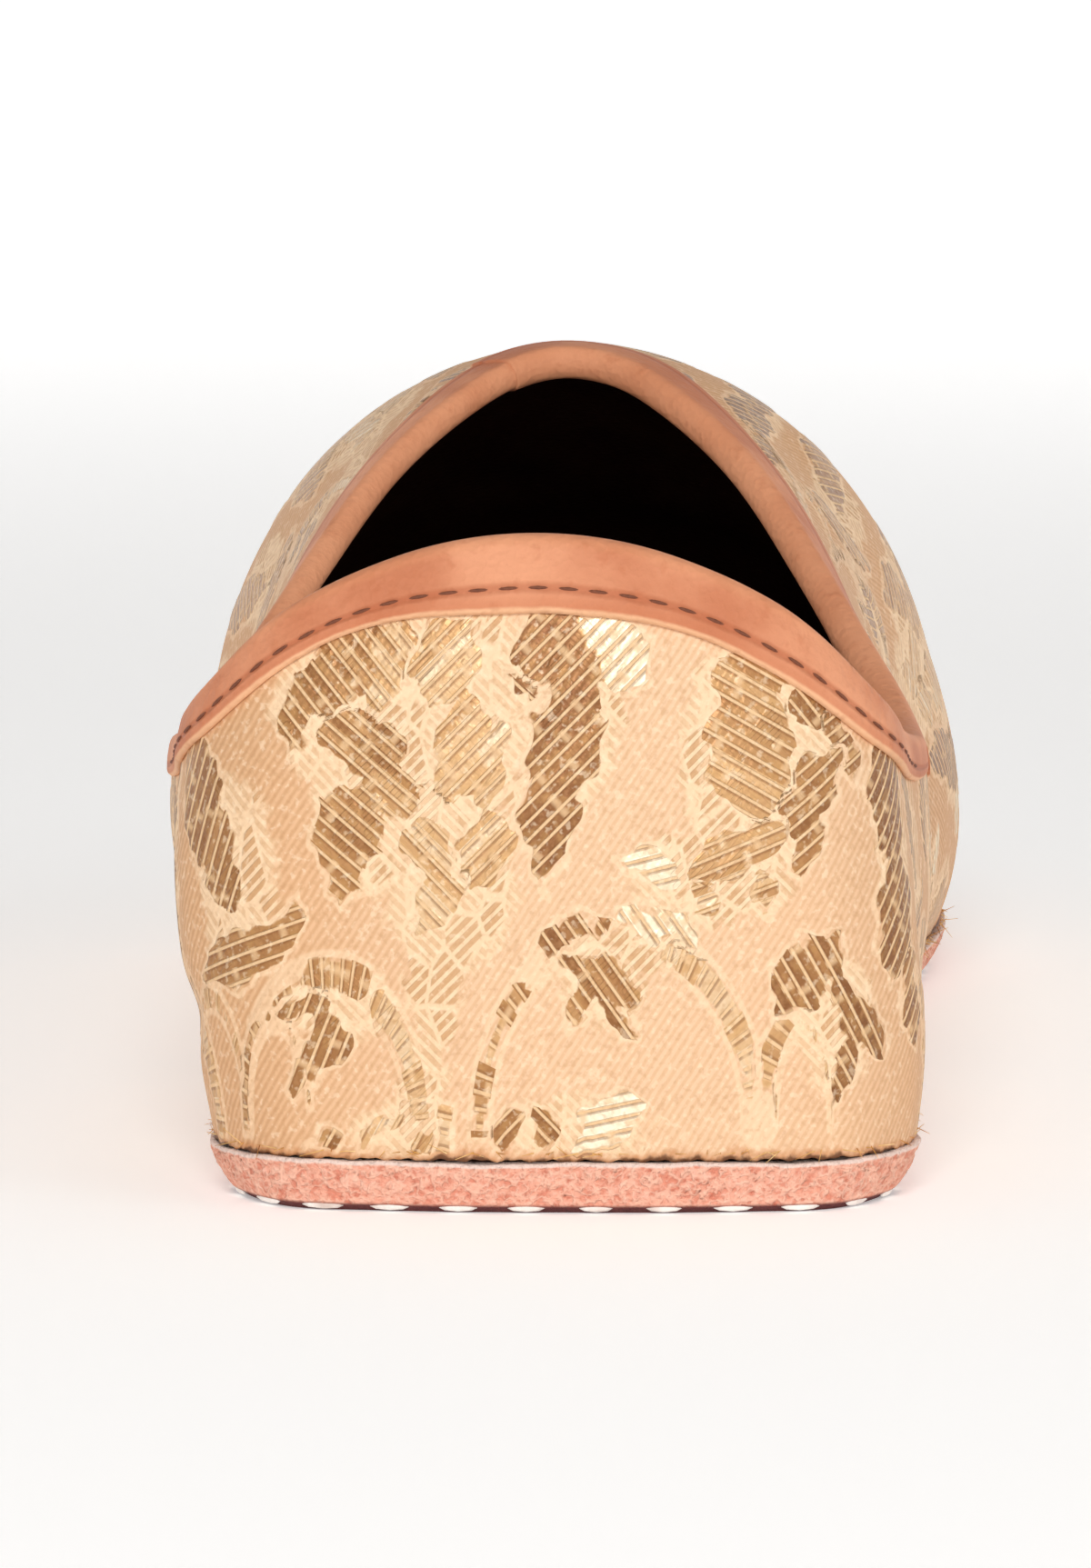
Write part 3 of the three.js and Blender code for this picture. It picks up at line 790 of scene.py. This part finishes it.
# The leaves: bars of flat gold thread between pale ones, tied down here and there.
bar_phase = start.attribute("bars")
bar = bar_phase.maths("FLOOR", bar_phase)
ragged = start.node("ShaderNodeTexWhiteNoise", {"noise_dimensions": "1D"}, {"W": bar})
inside = (figure + 0.2 - ragged * 0.9).step(-0.15, 0.08) * figure.step(-0.04, 0.08)
outline = figure.step(-0.6, -0.3) * (1 - figure.step(0.05, 0.22))
stripe = bar_phase.wave().step(0.06, 0.26)
tied = (start.attribute("run") * (1 / TIE_PITCH) + ragged * 9.0).wave().step(-0.03, 0.05)
floats = inside * stripe * tied
# The gold threads' colour is painted light and shade: each leaf's painted shine picks it, from dark brown to
# cream.
gold = start.node("ShaderNodeValToRGB", {"stops": (
    (0.0, srgb(132, 84, 46)),
    (0.3, srgb(172, 122, 74)),
    (0.62, srgb(214, 170, 120)),
    (1.0, srgb(255, 242, 214)),
)}, {"Fac": start.attribute("tone") + (ragged - 0.5) * 0.34})
gold = start.blend(slubs.step(0.42, 0.7) * 0.35, gold, srgb(206, 160, 100))
# Painted shade: a dark line along one side of each gold bar, beside the raised pale thread.
gold = start.blend((bar_phase + 0.16).wave().step(0.34, 0.06) * 0.55, gold, srgb(134, 84, 46))

colour = start.blend(sprig * 0.85, ground, start.blend(pale, srgb(244, 211, 172), srgb(206, 160, 114)))
colour = start.blend(outline * 0.5, colour, srgb(248, 216, 178))
colour = start.blend(inside * 0.9, colour, srgb(232, 194, 148))
colour = start.blend(floats, colour, gold)
specks = start.noise(1500.0, 2.0)
colour = start.blend(specks.step(0.53, 0.7) * 0.3, colour, srgb(192, 142, 96))
colour = start.blend(specks.step(0.45, 0.3) * 0.35, colour, srgb(255, 232, 200))
hem = start.attribute("hem") + (slubs - 0.5) * 1.6 + (start.noise(170.0) - 0.5) * 2.6
# Painted shade: the cloth darkens, first to a warm brown and then deep brown, into its joints with the sole
# and at the side seam.
colour = start.blend(hem.step(1.2, 0.5) * 0.5, colour, srgb(196, 124, 66))
colour = start.blend(hem.step(0.6, 0.1) * 0.85, colour, srgb(88, 48, 26))
relief = ribs * 0.16 + specks * 0.4 + (inside - floats) * 0.6 + sprig * pale * 0.4 + slubs * 0.5
connect(material, Base_Color=colour, Roughness=0.6 - 0.22 * floats, Metallic=floats * 0.3,
        height=relief, lift=0.00013)
for piece in (brocade_back, brocade_vamp):
    piece.data.materials.append(material)

# ---- Topline binding ------------------------------------------------------------------------
# Strips of tan leather folded over the upper's cut edge: one round the throat, and one over it
# round the back of the heel, machine-stitched near its lower edge with dark thread.

COLLAR_SMOOTHING = 13
WALK_STEP = 0.8


def softened(values):
    """Values along the collar, each one the mean of those round it."""
    spread = np.hanning(COLLAR_SMOOTHING + 2)[1:-1]
    padded = np.pad(values, ((COLLAR_SMOOTHING // 2,) * 2, (0, 0)), "reflect", reflect_type="odd")
    return np.stack([np.convolve(padded[:, i], spread / spread.sum(), "valid") for i in range(3)], -1)


def collar_path(knot):
    """Places along the collar's edge and the direction it runs in there."""
    share = collar_share(knot)
    ahead = softened(np.gradient(last_point(knot, share), axis=0))
    return share, ahead / np.linalg.norm(ahead, axis=-1, keepdims=True)


def walk_down(knot, share, ahead, distances, narrow=1.0):
    """Walks over the last, square to the collar's edge, and gives the places at these distances.

    The distances are for the full width: narrow shortens them, place by place.
    """
    k, s, gone, found = knot.copy(), share.copy(), 0.0, []
    for distance in distances:
        steps = max(1, math.ceil((distance - gone) / WALK_STEP))
        for _ in range(steps if distance > gone else 0):
            down = np.cross(ahead, last_normal(k, s))
            down /= np.linalg.norm(down, axis=-1, keepdims=True)
            per_knot = (last_point(k + NUDGE, s) - last_point(k - NUDGE, s)) / (2 * NUDGE)
            per_share = (last_point(k, s) - last_point(k, s - 0.01)) * 100
            aa, ab, bb = (per_knot**2).sum(-1), (per_knot * per_share).sum(-1), (per_share**2).sum(-1)
            ad, bd = (per_knot * down).sum(-1), (per_share * down).sum(-1)
            scale = narrow * (distance - gone) / steps / (aa * bb - ab * ab)
            k, s = k + scale * (ad * bb - bd * ab), s + scale * (bd * aa - ad * ab)
        gone = distance
        found.append((last_point(k, s), last_normal(k, s)))
    return found


def binding_profile(proud, thick, outer_drop, inner_drop, gap):
    """The strip's section as places down from the edge and out from the wall, once round."""
    front, back = proud + thick, -UPPER_WALL - gap - thick
    middle, half = (front + back) / 2, (front - back) / 2
    outer = [
        (outer_drop, proud), (outer_drop + 0.15, proud + 0.4 * thick), (outer_drop - 0.2, front - 0.12),
        (outer_drop - 0.7, front), (outer_drop * 0.6, front + 0.05), (outer_drop * 0.4, front + 0.08),
        (1.2, front + 0.03), (0.3, front),
    ]
    turns = np.linspace(0.15, math.pi - 0.15, 11)
    fold = [(-0.75 * half * math.sin(turn), middle + half * math.cos(turn)) for turn in turns]
    inner = [
        (0.3, back), (inner_drop * 0.5, back), (inner_drop - 0.3, back),
        (inner_drop, back + thick * 0.5), (inner_drop - 0.2, back + thick), (0.4, back + thick),
        (0.0, back + thick + 0.2), (0.0, proud - 0.1), (0.4, proud),
    ]
    return outer + fold + inner + [outer[0]]


def make_binding(name, knots, narrow, ease, proud, thick, outer_drop, inner_drop, gap):
    """A strip folded over the collar: narrow and ease are shares of its width and outer thickness."""
    share, ahead = collar_path(knots)
    profile = binding_profile(proud, thick, outer_drop, inner_drop, gap)
    downs = sorted({max(down, 0.0) for down, _ in profile})
    places = dict(zip(downs, walk_down(knots, share, ahead, downs, narrow)))
    first_down = np.cross(ahead, places[0.0][1])
    first_down /= np.linalg.norm(first_down, axis=-1, keepdims=True)
    rings = []
    for down, out in profile:
        point, normal = places[max(down, 0.0)]
        out = np.where(out > proud, proud + (out - proud) * ease, out)
        lifted = point + normal * (out - crease_depth(point))[..., None] + first_down * min(down, 0.0)
        rings.append(softened(lifted))
    mesh, across, up = new_grid(len(knots) - 1, len(profile) - 1)
    i = np.rint(across * (len(knots) - 1)).astype(int)
    j = np.rint(up * (len(profile) - 1)).astype(int)
    set_points(mesh, np.stack(rings)[j, i])
    set_values(mesh, "down", np.array(profile)[j, 0])
    bm = bmesh.new()
    bm.from_mesh(mesh)
    bmesh.ops.remove_doubles(bm, verts=bm.verts, dist=0.002 * MM)
    bmesh.ops.holes_fill(bm, edges=[e for e in bm.edges if e.is_boundary], sides=0)
    bmesh.ops.recalc_face_normals(bm, faces=bm.faces)
    bm.to_mesh(mesh)
    bm.free()
    shade_smooth(mesh)
    piece = new_object(name, mesh)
    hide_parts("topline_binding")
    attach(piece, "root")
    return piece


BINDING_DROP, BINDING_THICK = 6.0, 0.8
STITCH_DOWN = 3.9
THROAT_LAP = 3.0
HEEL_STRIP_LAP = 10
JUST_BEFORE = 1e-5
back_end = knot_of(SEAM_TOP)
front_start = knot_of(SEAM_TOP - HEEL_STRIP_LAP)


def heel_strip_width(knot):
    """The heel strip's width as a share of its width at the back: it thins towards its ends."""
    thinned = 0.40 * smooth(-knot, 3, 24) + 0.2 * smooth(knot, 4, 22) + 0.16 * smooth(knot, 22, 50)
    return 1 - thinned - 0.42 * smooth(np.abs(knot), back_end - 42, back_end)


def throat_strip_width(knot):
    """The throat strip's width as a share of its full width: it comes out narrow from the lap."""
    along_side = np.minimum(knot, RING - knot)
    return 0.42 + 0.58 * smooth(along_side, front_start, front_start + 34)


right_half = np.linspace(front_start, THROAT - JUST_BEFORE, 301)
lap_knots = np.linspace(RING - THROAT + JUST_BEFORE, RING - THROAT + THROAT_LAP, 20)
left_knots, right_knots = RING - right_half[::-1], np.concatenate((right_half, lap_knots))
throat_left = make_binding(
    "binding_throat_left", left_knots, throat_strip_width(left_knots), 1.0,
    proud=0.04, thick=0.6, outer_drop=BINDING_DROP, inner_drop=4.6, gap=0.05,
)
throat_right = make_binding(
    "binding_throat_right", right_knots, throat_strip_width(right_knots), 1.0,
    proud=0.1, thick=0.75, outer_drop=BINDING_DROP + 0.1, inner_drop=4.8, gap=0.15,
)


def skived(knot):
    """The share of its thickness that the heel strip keeps: it is pared thin towards its ends."""
    return 1 - 0.7 * smooth(np.abs(knot), back_end - 45, back_end - 5)


back_knots = np.linspace(-back_end, back_end, 421)
binding_heel = make_binding(
    "binding_heel", back_knots, heel_strip_width(back_knots), skived(back_knots),
    proud=BACK_PROUD + 0.08, thick=BINDING_THICK, outer_drop=BINDING_DROP, inner_drop=5.0, gap=0.3,
)

material, start = new_material("tan_binding_leather", 0.6, Specular_IOR_Level=0.25)
down = start.attribute("down")
mottle = start.noise(60.0, 4.0)
fine = start.noise(700.0, 3.0)
pores = start.voronoi(1400.0)
row = down + (mottle - 0.5) * 0.5
groove = row.step(STITCH_DOWN - 0.75, STITCH_DOWN - 0.1) * row.step(STITCH_DOWN + 0.7, STITCH_DOWN + 0.1)
colour = start.blend(mottle.step(0.35, 0.65), srgb(198, 122, 86), srgb(226, 156, 118))
# Painted shade: the strip is darker on its lower part, from the stitches down.
colour = start.blend(down.step(3.6, 5.4) * 0.45, colour, srgb(196, 116, 78))
# Painted shade in the sunken stitch groove.
colour = start.blend(groove * 0.55, colour, srgb(176, 92, 56))
# Painted highlight along the top of the fold.
colour = start.blend(down.step(0.6, -0.8) * 0.4, colour, srgb(232, 160, 116))
colour = start.blend((down + fine * 0.3).step(5.6, 6.0) * 0.75, colour, srgb(240, 192, 150))
colour = start.blend(fine.step(0.55, 0.75) * 0.25, colour, srgb(184, 100, 60))
connect(material, Base_Color=colour, Roughness=0.52 + 0.2 * mottle,
        height=pores * 0.4 + fine + mottle - groove * 0.7, lift=0.0002)
for piece in (throat_left, throat_right, binding_heel):
    piece.data.materials.append(material)

# ---- Binding stitches -----------------------------------------------------------------------
# One row of dark machine thread through the heel binding, each stitch sunk at both its ends.

STITCH_PITCH, STITCH_LENGTH, STITCH_WIDTH = 2.7, 1.9, 0.34
FIRST_STITCH, LAST_STITCH = 1.5, 1
UNSTITCHED_END = 31.0


def add_stitch(bm, middle, along_way, normal, length, width, height):
    """One short stitch: a flattened bead that lies along the seam."""
    made = bmesh.ops.create_uvsphere(bm, u_segments=8, v_segments=5, radius=1)["verts"]
    side = np.cross(normal, along_way)
    for vert in made:
        a, b, c = vert.co
        point = middle + along_way * (a * length / 2) + side * (b * width / 2)
        vert.co = Vector(place(point + normal * (c * height / 2)))


def length_along(points):
    steps = np.linalg.norm(np.diff(points, axis=0), axis=-1)
    return np.concatenate(([0], np.cumsum(steps)))


def way_at(points, i):
    way = points[min(i + 1, len(points) - 1)] - points[i - 1]
    return way / np.linalg.norm(way)


knots = np.linspace(UNSTITCHED_END - back_end, back_end - UNSTITCHED_END, 2001)
share, ahead = collar_path(knots)
(points, normals), = walk_down(knots, share, ahead, [STITCH_DOWN], heel_strip_width(knots))
run = length_along(points)
bm = bmesh.new()
for reached in np.arange(FIRST_STITCH, run[-1] - LAST_STITCH, STITCH_PITCH):
    i = int(np.searchsorted(run, reached))
    proud = BACK_PROUD + 0.12 + BINDING_THICK * skived(knots[i]) - float(crease_depth(points[i]))
    middle = points[i] + normals[i] * proud
    add_stitch(bm, middle, way_at(points, i), normals[i], STITCH_LENGTH, STITCH_WIDTH, STITCH_WIDTH)
stitches = new_object("binding_stitches", to_mesh(bm))
material, start = new_material("dark_thread", 0.7)
twist = start.noise(2500.0)
colour = start.blend(twist, srgb(92, 46, 28), srgb(134, 76, 48))
connect(material, Base_Color=colour, height=twist, lift=0.0001)
stitches.data.materials.append(material)
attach(stitches, "root")

# ---- Outsole --------------------------------------------------------------------------------
# One thick layer of salmon-red, raw-edged leather. Its edge is cut under and left furry, and the
# thin grain layer on top curls up as a pale, wavy lip.


def make_plate(profile, columns, cross_rows):
    """A closed plate from a profile of (inset, height) carried round the foot line.

    Gives its mesh, then for each vertex its point, height, place round the ring and whether it is
    on the edge.
    """
    loop = [(inset, height, 0.0) for inset, height in profile]
    loop += [(*profile[-1], share) for share in np.linspace(0, 1, cross_rows + 1)[1:-1]]
    loop += [(inset, height, 1.0) for inset, height in reversed(profile)]
    loop += [(*profile[0], 1 - share) for share in np.linspace(0, 1, cross_rows + 1)[1:]]
    mesh, across, up = new_grid(columns, len(loop) - 1)
    j = np.rint(up * (len(loop) - 1)).astype(int)
    inset, height, left = (np.array(column)[j] for column in zip(*loop))
    knot = across * TOE
    right_points = foot_line(knot, inset, height)
    left_points = foot_line(RING - knot, inset, height)
    points = right_points + (left_points - right_points) * left[:, None]
    edge_knot = np.where(left > 0.5, RING - knot, knot)
    on_edge = np.where((left == 0) | (left == 1), 1.0, 0.0)
    return mesh, points, height, edge_knot, on_edge


def finish_plate(mesh, points, name, node):
    set_points(mesh, points)
    weld(mesh, 0.0002 * MM, outwards=True)
    piece = new_object(name, mesh)
    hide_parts(node)
    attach(piece, "root")
    return piece


SOLE_COLUMNS, SOLE_CROSS_ROWS = 900, 16
FUR, LIP_WAVE, LIP_RISE, LIP_SAG = 0.34, 0.24, 0.2, 0.14
# The edge's section, from the underside up: how far inside the foot line, and how high.
SOLE_EDGE = (
    (3.2, 0.0), (2.4, 0.0), (1.9, 0.35), (1.4, 0.6), (1.1, 0.8), (0.85, 1.2), (0.6, 1.6),
    (0.35, 2.0), (0.1, 2.4), (-0.12, 2.8), (-0.3, 3.2), (-0.46, 3.6), (-0.58, 3.95),
    (-0.68, 4.25), (-0.78, 4.5), (-0.86, 4.75), (-0.88, 4.95), (-0.78, 5.08), (-0.4, 5.1), (0.5, 5.05),
)
draws = np.random.default_rng(11)
mesh, points, height, edge_knot, on_edge = make_plate(SOLE_EDGE, SOLE_COLUMNS, SOLE_CROSS_ROWS)
off_seams = np.mod(edge_knot, TOE) > 1e-6
raw = on_edge * smooth(height, 0.9, 1.4) * (1 - smooth(height, 4.3, 4.7)) * off_seams
fur = draws.uniform(-0.5, 0.5, len(points)) * raw * FUR
lip = on_edge * smooth(height, 4.2, 4.8)
round_sole = edge_knot * (2 * math.pi / RING)
waves = 0.5 * np.sin(21 * round_sole) + 0.3 * np.sin(46 * round_sole + 1.3)
waves += 0.2 * np.sin(112 * round_sole + 0.4)
outward = foot_line(edge_knot, -1.0) - foot_line(edge_knot)
points = points + outward * (fur + lip * LIP_WAVE * waves)[:, None]
points[:, 2] += lip * LIP_RISE * waves - LIP_SAG * lip
set_values(mesh, "height", height)
set_values(mesh, "rim", on_edge)
outsole = finish_plate(mesh, points, "outsole_leather", "outsole")
material, start = new_material("raw_sole_leather", 0.9, Specular_IOR_Level=0.2)
height, rim = start.attribute("height"), start.attribute("rim")
fibres = start.noise(1500.0, 4.0)
clumps = start.noise(1000.0, 3.0)
curls = start.noise(800.0, 2.0) - 0.5
curls = curls.maths("ABSOLUTE", curls).step(0.09, 0.02)
colour = start.blend(clumps.step(0.35, 0.6), srgb(222, 144, 120), srgb(240, 178, 154))
colour = start.blend(fibres.step(0.5, 0.72) * 0.6, colour, srgb(252, 208, 188))
colour = start.blend(fibres.step(0.44, 0.3) * 0.6, colour, srgb(196, 106, 84))
colour = start.blend(curls * 0.5, colour, srgb(252, 206, 182))
pale_lip = (height + clumps * 0.5).step(4.85, 5.1)
colour = start.blend(pale_lip, colour, srgb(238, 212, 200))
# Painted shadow: the sole's top face, where it shows beside the upper, is dark brown, the shade in the
# joint.
colour = start.blend(rim.step(0.9, 0.4) * height.step(4.0, 4.6), colour, srgb(60, 32, 20))
# Painted shade: the underside and the low edge are dark maroon.
under = height.step(1.0, 0.55)
colour = start.blend(under, colour, start.blend(clumps, srgb(84, 40, 44), srgb(128, 74, 70)))
connect(material, Base_Color=colour, height=fibres + clumps + curls * 0.2, lift=0.0004)
outsole.data.materials.append(material)

# ---- Sole stitches --------------------------------------------------------------------------
# Thick white cotton running stitches round the underside's edge, which hold the sole to the
# upper's turned-in margin. They lie on the underside's edge, which is painted dark maroon as shade.

CORD_PITCH, CORD_LENGTH, CORD_WIDTH, CORD_HEIGHT = 6.3, 3.6, 0.9, 0.5
GROOVE_INSET, GROOVE_HEIGHT = 1.55, 0.55
track = foot_line(np.linspace(0, RING, 6001), GROOVE_INSET, GROOVE_HEIGHT)
run = length_along(track)
count = round(run[-1] / CORD_PITCH)
bm = bmesh.new()
for n in range(count):
    i = int(np.searchsorted(run, (n + 0.5) * run[-1] / count))
    way = way_at(track, i)
    tilt = np.array((way[1], -way[0], -0.6))
    tilt /= np.linalg.norm(tilt)
    add_stitch(bm, track[i], way, tilt, CORD_LENGTH + draws.uniform(-0.5, 0.5), CORD_WIDTH, CORD_HEIGHT)
mesh = to_mesh(bm)
shade_smooth(mesh)
sole_stitches = new_object("sole_stitches", mesh)
material, start = new_material("white_cotton_cord", 0.85)
soil = start.noise(260.0, 3.0)
connect(material, Base_Color=start.blend(soil.step(0.4, 0.8), srgb(246, 242, 236), srgb(205, 188, 178)),
        height=start.noise(1800.0), lift=0.0002)
sole_stitches.data.materials.append(material)
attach(sole_stitches, "root")

# ---- Frayed threads -------------------------------------------------------------------------
# The brocade's raw lower edge sheds gold threads, which stick out of the joint with the sole.

FRAY_COUNT, FRAY_LENGTHS, FRAY_WIDTH = 520, (0.7, 2.4), 0.13
FRAY_PROUD, FRAY_ROOT = 0.55, 0.25
hem_share = np.array([0.004])
bm = bmesh.new()
for knot in draws.uniform(0, RING, FRAY_COUNT):
    low = on_last(np.array([knot]), hem_share, FRAY_PROUD)[0]
    out = last_normal(np.array([knot]), hem_share)[0]
    forward = np.cross((0, 0, 1), out)
    way = out * draws.uniform(0.15, 0.8) + forward * draws.uniform(-1.4, 1.4)
    way = way + (0, 0, draws.uniform(-0.45, 0.5))
    length = draws.uniform(*FRAY_LENGTHS)
    made = bmesh.ops.create_cone(bm, cap_ends=True, segments=3, radius1=FRAY_WIDTH / 2 * MM,
                                 radius2=FRAY_WIDTH / 5 * MM, depth=length * MM)["verts"]
    turn = Vector(way).to_track_quat("Z", "Y").to_matrix()
    bmesh.ops.rotate(bm, verts=made, cent=(0, 0, 0), matrix=turn)
    middle = low + way / np.linalg.norm(way) * (length / 2 - FRAY_ROOT)
    bmesh.ops.translate(bm, verts=made, vec=Vector(place(middle)))
frayed_threads = new_object("frayed_threads", to_mesh(bm))
material, start = new_material("gold_thread", 0.5, Metallic=0.3)
colour = start.node("ShaderNodeValToRGB", {"stops": (
    (0.3, srgb(150, 92, 40)),
    (0.5, srgb(216, 160, 84)),
    (0.7, srgb(250, 220, 160)),
)}, {"Fac": start.noise(400.0)})
connect(material, Base_Color=colour, height=start.noise(3000.0), lift=0.00005)
frayed_threads.data.materials.append(material)
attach(frayed_threads, "root")

# ---- Insole ---------------------------------------------------------------------------------
# A sock of dark leather over a thin pad, pasted down inside the upper, in the lining's colour with its
# painted shade.

INSOLE_COLUMNS, INSOLE_CROSS_ROWS = 260, 24
INSOLE_EDGE = ((2.75, 5.4), (2.75, 7.4), (2.9, 7.9), (3.35, 8.25), (4.15, 8.4), (5.75, 8.4))
mesh, points, height, edge_knot, on_edge = make_plate(INSOLE_EDGE, INSOLE_COLUMNS, INSOLE_CROSS_ROWS)
insole = finish_plate(mesh, points, "insole_leather", "insole")
insole.data.materials.append(lining_material)
